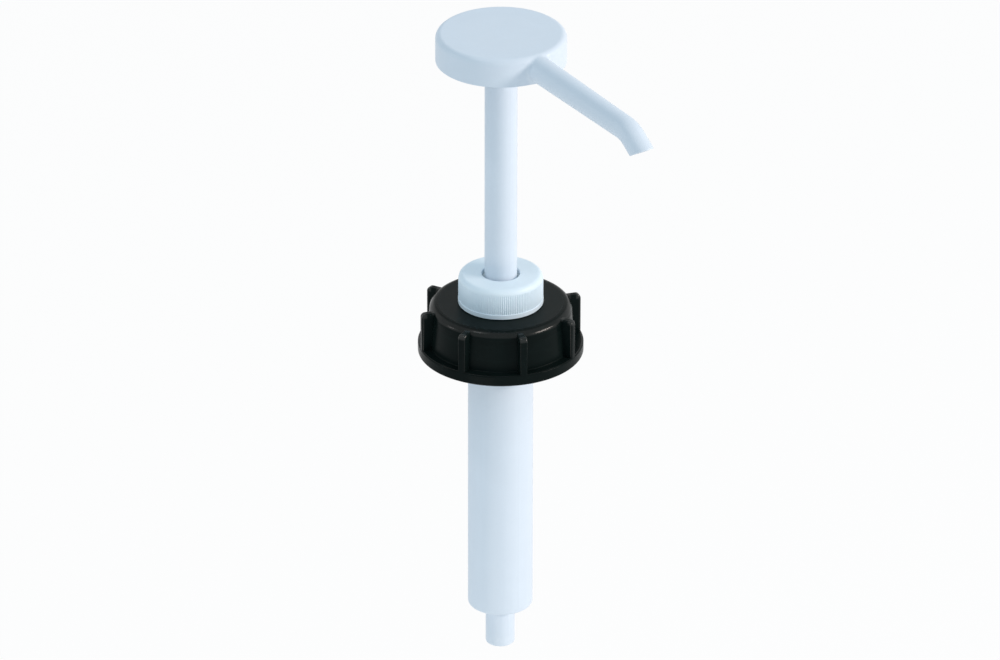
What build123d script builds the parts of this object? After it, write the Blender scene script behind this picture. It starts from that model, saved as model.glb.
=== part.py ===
from build123d import *
import math
import os

# Dispensing pump for a canister, in millimetres. The origin lies on the pump's axis in the
# plane where the canister's neck meets the cap's gasket. +Z points up, the spout points to +X.

# Shared fits and helpers
RUNNING_FIT = 0.10
SEAT_FIT = 0.03
OVERRUN = 2.0
RIDGE_BITE = 0.25
SMALL_ROUND = 0.4

# Black cap for the canister
CAP_GASKET_THICKNESS = 2.0
CAP_GASKET_EDGE_GAP = 0.4
CAP_GASKET_BORE_GAP = 1.5
CAP_TOP_WALL = 2.5
CAP_HEIGHT = 24.5
CAP_THREAD_RADIUS = 30.5
CAP_THREAD_DEPTH = 1.5
CAP_THREAD_PITCH = 6.0
CAP_THREAD_TURNS = 2.0
CAP_THREAD_ROOT_WIDTH = 3.0
CAP_THREAD_CREST_WIDTH = 1.4
CAP_THREAD_LEAD_IN = 3.5
CAP_WALL_TOP = 2.0
CAP_WALL_BASE = 3.2
CAP_TOP_ROUND = 3.8
CAP_FLANGE_OVERHANG = 4.3
CAP_FLANGE_THICKNESS = 5.2
CAP_FLANGE_ROUND = 0.8
FIN_COUNT = 8
FIN_PHASE = 26.0
FIN_THICKNESS = 3.6
FIN_EDGE_ROUND = 0.9
FIN_CORNER_ROUND = 2.0
FIN_TOP_DROP = 1.0
FIN_FLANGE_STEP = 0.1
FIN_ROOT_SHARE = 0.25

# Threaded neck on top of the cap
NECK_HEIGHT = 9.1
NECK_BORE_GAP = 0.35
NECK_WALL = 1.4
NECK_THREAD_DEPTH = 0.85
NECK_THREAD_PITCH = 4.0
NECK_THREAD_TURNS = 1.25
NECK_THREAD_ROOT_WIDTH = 1.7
NECK_THREAD_CREST_WIDTH = 0.8
NECK_THREAD_TOP_GAP = 1.2
NECK_GASKET_THICKNESS = 1.0
NECK_GASKET_INSET = 0.1

# Knurled collar
THREAD_CLEARANCE = 0.3
COLLAR_WALL = 1.4
COLLAR_TOP_WALL = 2.0
COLLAR_TOP_ROUND = 2.4
COLLAR_FOOT_GAP = 0.3
COLLAR_HOLE_GAP = 1.3
COLLAR_LIP_HEIGHT = 2.2
COLLAR_LIP_STEP = 0.25
COLLAR_LIP_ROUND = 0.2
COLLAR_THREAD_TURNS = 1.0
KNURL_HEIGHT = 9.5
KNURL_COUNT = 140
KNURL_DEPTH = 0.3

# Cylinder with its foot and spigot
BARREL_BORE_RADIUS = 13.5
BARREL_WALL = 1.5
BARREL_FLANGE_THICKNESS = 1.8
BARREL_FLANGE_INSET = 0.1
BARREL_FLOOR = 2.5
BARREL_FOOT_ROUND = 1.4
VENT_RADIUS = 1.0
VENT_PORT_DROP = 22.5
SPIGOT_RADIUS = 6.75
SPIGOT_LENGTH = 20.9
SPIGOT_END_ROUND = 1.0
DIP_TUBE_RADIUS = 5.0
DIP_TUBE_DEPTH = 17.0

# Guide bush and wiper in the mouth of the cylinder
GUIDE_FLANGE_THICKNESS = 0.8
GUIDE_FLANGE_INSET = 0.3
GUIDE_LENGTH = 14.8
GUIDE_SKIRT_WALL = 1.4
GUIDE_BUSH_WALL = 1.7
GUIDE_WEB = 4.0
GUIDE_RIB_COUNT = 6
GUIDE_RIB_THICKNESS = 1.4
WIPER_WIDTH = 2.2
WIPER_HEIGHT = 1.8
WIPER_LIP_HEIGHT = 0.6

# Stem
STEM_RADIUS = 7.45
STEM_WALL = 1.95
STEM_SEAT_DEPTH = 12.0

# Stroke of the plunger and the room that it leaves
PLUNGER_STROKE = 100.0
HEAD_STOP_GAP = 7.8
SPRING_CLOSED_LENGTH = 36.0

# Piston
CARRIER_FLANGE_THICKNESS = 2.5
CARRIER_FLANGE_GAP = 0.6
CARRIER_WALL = 1.75
CARRIER_FOOT = 4.5
CUP_BASE = 2.5
CUP_LIP_HEIGHT = 4.0
CUP_LIP_WALL = 1.2
CUP_LIP_TIP_WALL = 0.6
CUP_FIT = 0.05
CUP_LIP_GAP = 0.3
SPRING_WASHER_THICKNESS = 1.5

# Return spring
SPRING_WIRE_RADIUS = 0.8
SPRING_BORE_GAP = 0.5
SPRING_END_GAP = 0.05
SPRING_TURNS = 15
SPRING_DEAD_TURNS = 1
SPRING_DEAD_PITCH = 2.2
SPRING_ARCS_PER_TURN = 2

# Ball valves
VALVE_LIFT = 3.5
VALVE_SEAT_GAP = 0.05
OUTLET_BALL_RADIUS = 3.6
OUTLET_BORE_RADIUS = 5.2
OUTLET_PORT_RADIUS = 2.6
OUTLET_SEAT_RADIUS = 6.6
STOP_THICKNESS = 2.0
STOP_RING_WALL = 1.8
STOP_BAR_WIDTH = 1.8
INLET_BALL_RADIUS = 4.5
INLET_PORT_RADIUS = 3.2
CAGE_BASE_THICKNESS = 1.5
CAGE_BASE_GAP = 0.3
CAGE_BALL_GAP = 1.0
CAGE_WALL = 2.0
CAGE_ROOF = 1.6
CAGE_ROOF_PORT_RADIUS = 2.5
CAGE_WINDOW_WIDTH = 5.0
CAGE_WINDOW_COUNT = 4

# Head with its spout
HEAD_RADIUS = 29.8
HEAD_HEIGHT = 13.2
HEAD_TOP_WALL = 2.2
HEAD_SIDE_WALL = 2.0
HEAD_TOP_ROUND = 2.7
HUB_WALL = 2.1
HUB_RECESS = 0.6
STEM_SOCKET_DEPTH = 4.0
PLUG_LENGTH = 14.0
PLUG_BORE_RADIUS = 3.2
SEAL_RING_RADIUS = 0.6
SEAL_RING_HEIGHT_ON_PLUG = 4.0
HEAD_RIB_COUNT = 8
HEAD_RIB_THICKNESS = 1.4
HEAD_RIB_HEIGHT = 6.5
SPOUT_AXIS_DROP = 5.2
SPOUT_TILT = 3.0
SPOUT_ROOT_RADIUS = 6.15
SPOUT_TIP_RADIUS = 5.55
SPOUT_BORE_RADIUS = 3.0
SPOUT_CORNER_REACH = 98.3
SPOUT_BEND_RADIUS = 14.0
SPOUT_TIP_ANGLE = 36.0
SPOUT_TIP_LENGTH = 11.6
SPOUT_CUT_ANGLE = 58.0
SPOUT_TIP_ROUND = 0.5
SPOUT_FLARE_ROUND = 2.0
SPOUT_FLARE_REST = 0.7
SPOUT_CHANNEL_WALL = 1.8

# Heights of the stacked pieces
CAP_CEILING_Z = CAP_GASKET_THICKNESS
CAP_TOP_Z = CAP_CEILING_Z + CAP_TOP_WALL
CAP_BASE_Z = CAP_TOP_Z - CAP_HEIGHT
NECK_TOP_Z = CAP_TOP_Z + NECK_HEIGHT
BARREL_FLANGE_Z = NECK_TOP_Z + NECK_GASKET_THICKNESS
GUIDE_FLANGE_Z = BARREL_FLANGE_Z + BARREL_FLANGE_THICKNESS
COLLAR_CEILING_Z = GUIDE_FLANGE_Z + GUIDE_FLANGE_THICKNESS
COLLAR_TOP_Z = COLLAR_CEILING_Z + COLLAR_TOP_WALL
COLLAR_FOOT_Z = CAP_TOP_Z + COLLAR_FOOT_GAP
GUIDE_FOOT_Z = GUIDE_FLANGE_Z - GUIDE_LENGTH
CUPS_TOP_Z = GUIDE_FOOT_Z - CARRIER_FLANGE_THICKNESS
CUPS_MIDDLE_Z = CUPS_TOP_Z - CUP_BASE - CUP_LIP_HEIGHT
WASHER_TOP_Z = CUPS_MIDDLE_Z - CUP_BASE
SPRING_TOP_Z = WASHER_TOP_Z - SPRING_WASHER_THICKNESS
SPRING_FOOT_Z = SPRING_TOP_Z - PLUNGER_STROKE - SPRING_CLOSED_LENGTH
BARREL_FLOOR_Z = SPRING_FOOT_Z - CAGE_BASE_THICKNESS
BARREL_FOOT_Z = BARREL_FLOOR_Z - BARREL_FLOOR
SPIGOT_END_Z = BARREL_FOOT_Z - SPIGOT_LENGTH
HEAD_FOOT_Z = COLLAR_TOP_Z + PLUNGER_STROKE + HEAD_STOP_GAP
HEAD_TOP_Z = HEAD_FOOT_Z + HEAD_HEIGHT
STEM_TOP_Z = HEAD_FOOT_Z + STEM_SOCKET_DEPTH
STEM_FOOT_Z = GUIDE_FOOT_Z - STEM_SEAT_DEPTH
STOP_FOOT_Z = STEM_FOOT_Z - STOP_THICKNESS

# Radii that follow from the fits
BARREL_RADIUS = BARREL_BORE_RADIUS + BARREL_WALL
NECK_BORE_RADIUS = BARREL_RADIUS + NECK_BORE_GAP
NECK_RADIUS = NECK_BORE_RADIUS + NECK_WALL
NECK_CREST_RADIUS = NECK_RADIUS + NECK_THREAD_DEPTH
COLLAR_BORE_RADIUS = NECK_CREST_RADIUS + THREAD_CLEARANCE
COLLAR_CREST_RADIUS = NECK_RADIUS + THREAD_CLEARANCE
COLLAR_RADIUS = COLLAR_BORE_RADIUS + COLLAR_WALL
STEM_BORE_RADIUS = STEM_RADIUS - STEM_WALL
CARRIER_RADIUS = STEM_RADIUS + SEAT_FIT + CARRIER_WALL
CUP_BORE_RADIUS = CARRIER_RADIUS + RUNNING_FIT
CUP_RADIUS = BARREL_BORE_RADIUS - CUP_FIT
SPRING_MEAN_RADIUS = CARRIER_RADIUS + SPRING_BORE_GAP + SPRING_WIRE_RADIUS
CAP_CREST_RADIUS = CAP_THREAD_RADIUS - CAP_THREAD_DEPTH

# Heights of the balls on the rims of their ports
OUTLET_RISE = math.sqrt(OUTLET_BALL_RADIUS**2 - OUTLET_PORT_RADIUS**2) + VALVE_SEAT_GAP
INLET_RISE = math.sqrt(INLET_BALL_RADIUS**2 - INLET_PORT_RADIUS**2) + VALVE_SEAT_GAP
OUTLET_BALL_Z = STOP_FOOT_Z - VALVE_LIFT - OUTLET_BALL_RADIUS
OUTLET_SEAT_Z = OUTLET_BALL_Z - OUTLET_RISE
CARRIER_FOOT_Z = OUTLET_SEAT_Z - CARRIER_FOOT
INLET_BALL_Z = BARREL_FLOOR_Z + INLET_RISE
CAGE_ROOF_Z = INLET_BALL_Z + INLET_BALL_RADIUS + VALVE_LIFT

# Spout line in the plane of the pump's axis
SPOUT_AXIS_Z = HEAD_TOP_Z - SPOUT_AXIS_DROP
SPOUT_CORNER_Z = SPOUT_AXIS_Z - SPOUT_CORNER_REACH * math.tan(math.radians(SPOUT_TILT))
SPOUT_BEND_TURN = SPOUT_TIP_ANGLE - SPOUT_TILT
SPOUT_BEND_SETBACK = SPOUT_BEND_RADIUS * math.tan(math.radians(SPOUT_BEND_TURN / 2))


def turned(corners):
    """A solid of revolution about Z from (radius, height, corner rounding) triples."""
    points = [(radius, height) for radius, height, _ in corners]
    rounds = [rounding for _, _, rounding in corners]
    outline = FilletPolyline(*points, radius=rounds, close=True)
    return revolve(Plane.XZ * make_face(outline), Axis.Z)


def ring(inner, outer, low, high, rounding=0):
    """A ring with a rectangular section, its outer edges rounded."""
    return turned([(inner, low, 0), (outer, low, rounding), (outer, high, rounding), (inner, high, 0)])


def post(radius, low, high):
    """A plain upright cylinder on the pump's axis."""
    return Pos(0, 0, low) * Cylinder(radius, high - low, align=(Align.CENTER, Align.CENTER, Align.MIN))


def spokes(count, phase, spoke):
    """Copies of one piece turned evenly about the pump's axis."""
    return [Rot(0, 0, phase + 360 * index / count) * spoke for index in range(count)]


def upright_slab(inner, outer, thickness, low, high):
    """A flat radial slab standing on +X."""
    outline = Polyline((inner, low), (outer, low), (outer, high), (inner, high), close=True)
    return extrude(Plane.XZ * make_face(outline), amount=thickness / 2, both=True)


def helical_ridge(wall, crest, root_width, crest_width, pitch, turns, start_z, start_angle):
    """A thread ridge that starts at an angle and height and climbs to the right seen from outside."""
    bite = math.copysign(RIDGE_BITE, wall - crest)
    outline = Polyline(
        (wall + bite, -root_width / 2),
        (crest, -crest_width / 2),
        (crest, crest_width / 2),
        (wall + bite, root_width / 2),
        close=True,
    )
    path = Helix(pitch=pitch, height=pitch * turns, radius=wall)
    ridge = sweep(Plane.XZ * make_face(outline), path=path, is_frenet=True)
    return Pos(0, 0, start_z) * Rot(0, 0, start_angle) * ridge


def biarc(start, start_way, end, end_way):
    """Two arcs that share a tangent and join two points along given directions."""
    reach = end - start
    ways = start_way + end_way
    spread = 2 * (1 - start_way.dot(end_way))
    along = reach.dot(ways)
    pull = (math.sqrt(along**2 + spread * reach.dot(reach)) - along) / spread
    middle = (start + end + (start_way - end_way) * pull) * 0.5
    middle_way = (reach - ways * pull).normalized()
    first = TangentArc(start, middle, tangent=start_way)
    second = TangentArc(middle, end, tangent=middle_way)
    return [first, second]


def adapter_cap():
    """The black cap: skirt, flange, fins, canister thread and the threaded neck on top."""
    skirt_top = CAP_THREAD_RADIUS + CAP_WALL_TOP
    skirt_base = CAP_THREAD_RADIUS + CAP_WALL_BASE
    flange_radius = skirt_base + CAP_FLANGE_OVERHANG
    flange_top = CAP_BASE_Z + CAP_FLANGE_THICKNESS
    body = turned([
        (CAP_THREAD_RADIUS, CAP_BASE_Z, 0),
        (flange_radius, CAP_BASE_Z, CAP_FLANGE_ROUND),
        (flange_radius, flange_top, CAP_FLANGE_ROUND),
        (skirt_base, flange_top, SMALL_ROUND),
        (skirt_top, CAP_TOP_Z, CAP_TOP_ROUND),
        (NECK_RADIUS, CAP_TOP_Z, 0),
        (NECK_RADIUS, NECK_TOP_Z, SMALL_ROUND),
        (NECK_BORE_RADIUS, NECK_TOP_Z, 0),
        (NECK_BORE_RADIUS, CAP_CEILING_Z, 0),
        (CAP_THREAD_RADIUS, CAP_CEILING_Z, 0),
    ])
    fin_radius = flange_radius - FIN_FLANGE_STEP
    fin_inner = CAP_THREAD_RADIUS + CAP_WALL_TOP * FIN_ROOT_SHARE
    fin_top = CAP_TOP_Z - FIN_TOP_DROP
    fin_low = CAP_BASE_Z + CAP_FLANGE_THICKNESS / 2
    fin = upright_slab(fin_inner, fin_radius, FIN_THICKNESS, fin_low, fin_top)
    outer_top = fin.edges().filter_by(Axis.Y).group_by(Axis.X)[-1].sort_by(Axis.Z)[-1]
    fin = fillet(outer_top, FIN_CORNER_ROUND)
    outer_sides = fin.faces().sort_by(Axis.X)[-1].edges().filter_by(Axis.Z)
    fin = fillet(outer_sides, FIN_EDGE_ROUND)
    body = body + spokes(FIN_COUNT, FIN_PHASE, fin)
    body = body + helical_ridge(
        CAP_THREAD_RADIUS,
        CAP_CREST_RADIUS,
        CAP_THREAD_ROOT_WIDTH,
        CAP_THREAD_CREST_WIDTH,
        CAP_THREAD_PITCH,
        CAP_THREAD_TURNS,
        CAP_BASE_Z + CAP_THREAD_LEAD_IN,
        0,
    )
    return body + helical_ridge(
        NECK_RADIUS,
        NECK_CREST_RADIUS,
        NECK_THREAD_ROOT_WIDTH,
        NECK_THREAD_CREST_WIDTH,
        NECK_THREAD_PITCH,
        NECK_THREAD_TURNS,
        NECK_TOP_Z - NECK_THREAD_TOP_GAP - NECK_THREAD_PITCH * NECK_THREAD_TURNS,
        0,
    )


def cap_gasket():
    """Flat sealing ring under the cap's ceiling; the canister's neck presses on its underside."""
    inner = NECK_BORE_RADIUS + CAP_GASKET_BORE_GAP
    outer = CAP_CREST_RADIUS - CAP_GASKET_EDGE_GAP
    return ring(inner, outer, 0, CAP_GASKET_THICKNESS)


def neck_gasket():
    """Flat ring between the cap's neck and the flange of the cylinder."""
    outer = NECK_RADIUS - NECK_GASKET_INSET
    return ring(NECK_BORE_RADIUS, outer, NECK_TOP_Z, BARREL_FLANGE_Z)


def screw_collar():
    """White collar: smooth rounded top, knurled band, bottom lip and an inner thread ridge."""
    knurl_root = COLLAR_RADIUS - KNURL_DEPTH / 2
    knurl_crest = COLLAR_RADIUS + KNURL_DEPTH / 2
    lip_radius = COLLAR_RADIUS + COLLAR_LIP_STEP
    lip_top = COLLAR_FOOT_Z + COLLAR_LIP_HEIGHT
    knurl_top = lip_top + KNURL_HEIGHT
    hole = STEM_RADIUS + COLLAR_HOLE_GAP
    shell = turned([
        (COLLAR_BORE_RADIUS, COLLAR_FOOT_Z, 0),
        (lip_radius, COLLAR_FOOT_Z, COLLAR_LIP_ROUND),
        (lip_radius, lip_top, COLLAR_LIP_ROUND),
        (knurl_root, lip_top, 0),
        (knurl_root, knurl_top, 0),
        (COLLAR_RADIUS, knurl_top, 0),
        (COLLAR_RADIUS, COLLAR_TOP_Z, COLLAR_TOP_ROUND),
        (hole, COLLAR_TOP_Z, SMALL_ROUND),
        (hole, COLLAR_CEILING_Z, 0),
        (COLLAR_BORE_RADIUS, COLLAR_CEILING_Z, 0),
    ])
    teeth = []
    for index in range(2 * KNURL_COUNT):
        angle = math.pi * index / KNURL_COUNT
        radius = knurl_crest if index % 2 else knurl_root
        teeth.append((radius * math.cos(angle), radius * math.sin(angle)))
    knurl_outline = make_face(Polyline(*teeth, close=True))
    knurl_inner = (COLLAR_BORE_RADIUS + knurl_root) / 2
    knurl = extrude(knurl_outline - Circle(knurl_inner), amount=knurl_top - lip_top)
    shell = shell + Pos(0, 0, lip_top) * knurl
    ridge_top = NECK_TOP_Z - NECK_THREAD_TOP_GAP - NECK_THREAD_PITCH / 4
    ridge_turn = 360 * (NECK_THREAD_TURNS - COLLAR_THREAD_TURNS) + 90
    return shell + helical_ridge(
        COLLAR_BORE_RADIUS,
        COLLAR_CREST_RADIUS,
        NECK_THREAD_ROOT_WIDTH,
        NECK_THREAD_CREST_WIDTH,
        NECK_THREAD_PITCH,
        COLLAR_THREAD_TURNS,
        ridge_top - NECK_THREAD_PITCH * COLLAR_THREAD_TURNS,
        ridge_turn,
    )


def pump_cylinder():
    """White cylinder: clamped flange, long tube, floor with the inlet port, spigot for a dip tube."""
    flange_radius = NECK_RADIUS - BARREL_FLANGE_INSET
    socket_top = SPIGOT_END_Z + DIP_TUBE_DEPTH
    tube = turned([
        (BARREL_BORE_RADIUS, GUIDE_FLANGE_Z, 0),
        (BARREL_BORE_RADIUS, BARREL_FLOOR_Z, 0),
        (INLET_PORT_RADIUS, BARREL_FLOOR_Z, 0),
        (INLET_PORT_RADIUS, socket_top, 0),
        (DIP_TUBE_RADIUS, socket_top, 0),
        (DIP_TUBE_RADIUS, SPIGOT_END_Z, 0),
        (SPIGOT_RADIUS, SPIGOT_END_Z, SPIGOT_END_ROUND),
        (SPIGOT_RADIUS, BARREL_FOOT_Z, SMALL_ROUND),
        (BARREL_RADIUS, BARREL_FOOT_Z, BARREL_FOOT_ROUND),
        (BARREL_RADIUS, BARREL_FLANGE_Z, 0),
        (flange_radius, BARREL_FLANGE_Z, 0),
        (flange_radius, GUIDE_FLANGE_Z, 0),
    ])
    vent_z = BARREL_FLANGE_Z - VENT_PORT_DROP
    drill = Cylinder(VENT_RADIUS, BARREL_RADIUS + OVERRUN, align=(Align.CENTER, Align.CENTER, Align.MIN))
    return tube - Pos(0, 0, vent_z) * Rot(0, 90, 0) * drill


def stem_guide():
    """Guide bush: thin flange under the collar, a skirt in the cylinder, a ribbed bush on the stem."""
    flange_radius = NECK_RADIUS - GUIDE_FLANGE_INSET
    skirt_radius = BARREL_BORE_RADIUS - SEAT_FIT
    bush_bore = STEM_RADIUS + RUNNING_FIT
    bush_radius = bush_bore + GUIDE_BUSH_WALL
    skirt_bore = skirt_radius - GUIDE_SKIRT_WALL
    web_foot = GUIDE_FLANGE_Z - GUIDE_WEB
    wiper_radius = STEM_RADIUS + RUNNING_FIT + WIPER_WIDTH
    wiper_seat = COLLAR_CEILING_Z - WIPER_HEIGHT
    body = turned([
        (bush_bore, GUIDE_FOOT_Z, 0),
        (bush_radius, GUIDE_FOOT_Z, 0),
        (bush_radius, web_foot, 0),
        (skirt_bore, web_foot, 0),
        (skirt_bore, GUIDE_FOOT_Z, 0),
        (skirt_radius, GUIDE_FOOT_Z, SMALL_ROUND),
        (skirt_radius, GUIDE_FLANGE_Z, 0),
        (flange_radius, GUIDE_FLANGE_Z, 0),
        (flange_radius, COLLAR_CEILING_Z, 0),
        (wiper_radius, COLLAR_CEILING_Z, 0),
        (wiper_radius, wiper_seat, 0),
        (bush_bore, wiper_seat, 0),
    ])
    rib_inner = bush_radius - GUIDE_BUSH_WALL / 2
    rib_outer = skirt_bore + GUIDE_SKIRT_WALL / 2
    rib_top = web_foot + GUIDE_WEB / 4
    rib = upright_slab(rib_inner, rib_outer, GUIDE_RIB_THICKNESS, GUIDE_FOOT_Z, rib_top)
    return body + spokes(GUIDE_RIB_COUNT, 0, rib)


def stem_wiper():
    """Lip ring that lies in the top of the guide under the collar and wipes the stem."""
    lip_bore = STEM_RADIUS + CUP_FIT
    body_bore = STEM_RADIUS + RUNNING_FIT + WIPER_WIDTH / 3
    outer = STEM_RADIUS + RUNNING_FIT + WIPER_WIDTH - SEAT_FIT
    low = COLLAR_CEILING_Z - WIPER_HEIGHT
    lip_low = COLLAR_CEILING_Z - WIPER_LIP_HEIGHT
    return turned([
        (body_bore, low, 0),
        (outer, low, 0),
        (outer, COLLAR_CEILING_Z, 0),
        (lip_bore, COLLAR_CEILING_Z, 0),
        (lip_bore, lip_low, 0),
    ])


def stem_tube():
    """Hollow stem from the foot of its seat in the piston to its socket in the head."""
    return ring(STEM_BORE_RADIUS, STEM_RADIUS, STEM_FOOT_Z, STEM_TOP_Z)


def piston_carrier():
    """Spool pressed on the stem: top flange, long body that carries the cups, valve chamber."""
    flange_radius = BARREL_BORE_RADIUS - CARRIER_FLANGE_GAP
    socket = STEM_RADIUS + SEAT_FIT
    seat_bore = OUTLET_SEAT_RADIUS + SEAT_FIT
    return turned([
        (socket, GUIDE_FOOT_Z, 0),
        (flange_radius, GUIDE_FOOT_Z, SMALL_ROUND),
        (flange_radius, CUPS_TOP_Z, SMALL_ROUND),
        (CARRIER_RADIUS, CUPS_TOP_Z, 0),
        (CARRIER_RADIUS, CARRIER_FOOT_Z, SMALL_ROUND),
        (seat_bore, CARRIER_FOOT_Z, 0),
        (seat_bore, OUTLET_SEAT_Z, 0),
        (OUTLET_BORE_RADIUS, OUTLET_SEAT_Z, 0),
        (OUTLET_BORE_RADIUS, STOP_FOOT_Z, 0),
        (socket, STOP_FOOT_Z, 0),
    ])


def cup(base_z, way):
    """A piston cup whose lip points up for a way of 1 and down for a way of -1."""
    base_end = base_z + way * CUP_BASE
    lip_end = base_end + way * (CUP_LIP_HEIGHT - CUP_LIP_GAP)
    lip_root = CUP_RADIUS - CUP_LIP_WALL
    lip_tip = CUP_RADIUS - CUP_LIP_TIP_WALL
    return turned([
        (CUP_BORE_RADIUS, base_z, 0),
        (CUP_RADIUS, base_z, SMALL_ROUND),
        (CUP_RADIUS, lip_end, 0),
        (lip_tip, lip_end, 0),
        (lip_root, base_end, SMALL_ROUND),
        (CUP_BORE_RADIUS, base_end, 0),
    ])


def upper_cup_seal():
    """Upper piston cup, with its lip up and a sleeve that carries the load to the carrier's flange."""
    sleeve_radius = (CUP_BORE_RADIUS + CUP_RADIUS) / 2
    sleeve = ring(CUP_BORE_RADIUS, sleeve_radius, CUPS_MIDDLE_Z + CUP_BASE / 2, CUPS_TOP_Z)
    return cup(CUPS_MIDDLE_Z, 1) + sleeve


def lower_cup_seal():
    """Lower piston cup, with its lip down round the thrust washer."""
    return cup(CUPS_MIDDLE_Z, -1)


def spring_washer():
    """Thrust washer that passes the spring's push on to the cups."""
    outer = CUP_RADIUS - CUP_LIP_WALL - CUP_LIP_GAP
    return ring(CUP_BORE_RADIUS, outer, SPRING_TOP_Z, WASHER_TOP_Z, SMALL_ROUND)


def spring_nodes():
    """Points and directions of the wire's centre line, from the foot up, at each arc's ends."""
    low = SPRING_FOOT_Z + SPRING_END_GAP + SPRING_WIRE_RADIUS
    high = SPRING_TOP_Z - SPRING_END_GAP - SPRING_WIRE_RADIUS
    live_turns = SPRING_TURNS - 2 * SPRING_DEAD_TURNS
    live_pitch = (high - low - 2 * SPRING_DEAD_TURNS * SPRING_DEAD_PITCH) / live_turns
    count = SPRING_TURNS * SPRING_ARCS_PER_TURN
    dead = SPRING_DEAD_TURNS * SPRING_ARCS_PER_TURN
    nodes = []
    height = low
    for index in range(count + 1):
        before = SPRING_DEAD_PITCH if index <= dead or index > count - dead else live_pitch
        after = SPRING_DEAD_PITCH if index < dead or index >= count - dead else live_pitch
        angle = 2 * math.pi * index / SPRING_ARCS_PER_TURN
        climb = (before + after) / (4 * math.pi)
        point = Vector(SPRING_MEAN_RADIUS * math.cos(angle), SPRING_MEAN_RADIUS * math.sin(angle), height)
        way = Vector(-SPRING_MEAN_RADIUS * math.sin(angle), SPRING_MEAN_RADIUS * math.cos(angle), climb)
        nodes.append((point, way.normalized()))
        height += after / SPRING_ARCS_PER_TURN
    return nodes


def main_spring():
    """Return spring: one wire with a closed turn at each end."""
    nodes = spring_nodes()
    arcs = []
    for (start, start_way), (end, end_way) in zip(nodes, nodes[1:]):
        arcs += biarc(start, start_way, end, end_way)
    path = Wire(arcs)
    section = Plane(origin=nodes[0][0], z_dir=nodes[0][1]) * Circle(SPRING_WIRE_RADIUS)
    wire = sweep(section, path=path)
    straight_volume = math.pi * SPRING_WIRE_RADIUS**2 * path.length
    rises = [b[0].Z - a[0].Z for a, b in zip(nodes, nodes[SPRING_ARCS_PER_TURN:])]
    print("spring volume against wire length", round(wire.volume / straight_volume, 4))
    print("spring least gap between turns", round(min(rises) - 2 * SPRING_WIRE_RADIUS, 2))
    return wire


def outlet_valve_seat():
    """Seat ring in the foot of the carrier."""
    return ring(OUTLET_PORT_RADIUS, OUTLET_SEAT_RADIUS, CARRIER_FOOT_Z, OUTLET_SEAT_Z)


def outlet_ball():
    """Ball that closes the way back from the stem."""
    return Pos(0, 0, OUTLET_BALL_Z) * Sphere(OUTLET_BALL_RADIUS)


def outlet_ball_stop():
    """Ring with a cross, clamped under the stem, that limits the lift of the outlet ball."""
    frame = ring(STEM_RADIUS - STOP_RING_WALL, STEM_RADIUS, STOP_FOOT_Z, STEM_FOOT_Z)
    reach = STEM_RADIUS - STOP_RING_WALL / 2
    bar = upright_slab(-reach, reach, STOP_BAR_WIDTH, STOP_FOOT_Z, STEM_FOOT_Z)
    return frame + bar + Rot(0, 0, 90) * bar


def inlet_ball_cage():
    """Cage on the cylinder's floor: the spring holds its base, its windows let the liquid pass."""
    base_radius = BARREL_BORE_RADIUS - CAGE_BASE_GAP
    bore = INLET_BALL_RADIUS + CAGE_BALL_GAP
    wall_radius = bore + CAGE_WALL
    roof_top = CAGE_ROOF_Z + CAGE_ROOF
    body = turned([
        (bore, BARREL_FLOOR_Z, 0),
        (base_radius, BARREL_FLOOR_Z, 0),
        (base_radius, SPRING_FOOT_Z, 0),
        (wall_radius, SPRING_FOOT_Z, SMALL_ROUND),
        (wall_radius, roof_top, SMALL_ROUND),
        (CAGE_ROOF_PORT_RADIUS, roof_top, 0),
        (CAGE_ROOF_PORT_RADIUS, CAGE_ROOF_Z, 0),
        (bore, CAGE_ROOF_Z, 0),
    ])
    window_low = SPRING_FOOT_Z + CAGE_WALL
    window_high = CAGE_ROOF_Z - CAGE_ROOF
    window = upright_slab(bore / 2, wall_radius + OVERRUN, CAGE_WINDOW_WIDTH, window_low, window_high)
    return body - spokes(CAGE_WINDOW_COUNT, 0, window)


def inlet_ball():
    """Ball that closes the way back to the dip tube."""
    return Pos(0, 0, INLET_BALL_Z) * Sphere(INLET_BALL_RADIUS)


def spout_way(angle):
    """Direction that points away from the head and the given angle below the level."""
    return Vector(math.cos(math.radians(angle)), 0, -math.sin(math.radians(angle)))


def spout_rod(root_reach, root_radius, tip_radius, end_overrun):
    """Straight run, bend and tip of the spout as one solid rod."""
    run_way = spout_way(SPOUT_TILT)
    tip_way = spout_way(SPOUT_TIP_ANGLE)
    corner = Vector(SPOUT_CORNER_REACH, 0, SPOUT_CORNER_Z)
    run_length = (SPOUT_CORNER_REACH - root_reach) / math.cos(math.radians(SPOUT_TILT)) - SPOUT_BEND_SETBACK
    bend_start = corner - run_way * SPOUT_BEND_SETBACK
    bend_end = corner + tip_way * SPOUT_BEND_SETBACK
    tip_length = SPOUT_TIP_LENGTH - SPOUT_BEND_SETBACK + end_overrun
    foot = (Align.CENTER, Align.CENTER, Align.MIN)
    across = Vector(0, 1, 0)
    run_plane = Plane(origin=bend_start - run_way * run_length, x_dir=across, z_dir=run_way)
    if root_radius == tip_radius:
        run = run_plane * Cylinder(tip_radius, run_length, align=foot)
    else:
        run = run_plane * Cone(root_radius, tip_radius, run_length, align=foot)
    centre = bend_start + spout_way(SPOUT_TILT + 90) * SPOUT_BEND_RADIUS
    section = Plane(origin=bend_start, z_dir=run_way) * Circle(tip_radius)
    bend = revolve(section, Axis(centre, across), SPOUT_BEND_TURN)
    tip = Plane(origin=bend_end, z_dir=tip_way) * Cylinder(tip_radius, tip_length, align=foot)
    return run + bend + tip


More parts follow.
